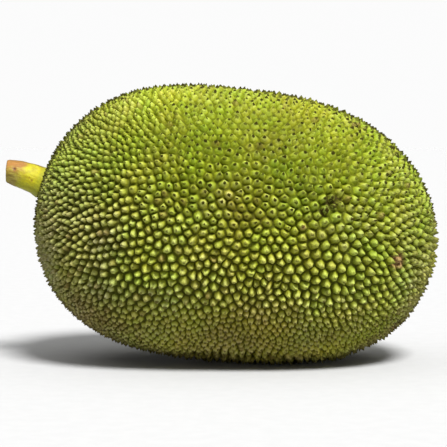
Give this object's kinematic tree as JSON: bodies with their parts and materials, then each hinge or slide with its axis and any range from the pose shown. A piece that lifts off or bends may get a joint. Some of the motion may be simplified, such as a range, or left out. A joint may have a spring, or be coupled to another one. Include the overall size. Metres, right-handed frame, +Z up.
{
  "type": "jackfruit",
  "caption": "Whole ripening jackfruit, a large oblong fruit with a rind of blunt spikes and a short cut stalk, lying on its side.",
  "frame": {"origin": "on the resting surface, under the middle of the object's box", "axes": "+Z up, X along the fruit with the cut stalk at -X and the blossom end at +X, +Y across it"},
  "size_m": [0.468, 0.293, 0.2993],
  "materials": {
    "rind": "yellow-green waxy rind of blunt spikes with small dark brown tips and olive furrows, with a few brown scars",
    "stalk_bark": "dry fibrous stalk, orange-tan at the sawn end and yellow at the fruit"
  },
  "bodies": {
    "root": {"jackfruit_fruit": "rind", "cut_stalk": "stalk_bark"}
  },
  "joints": []
}
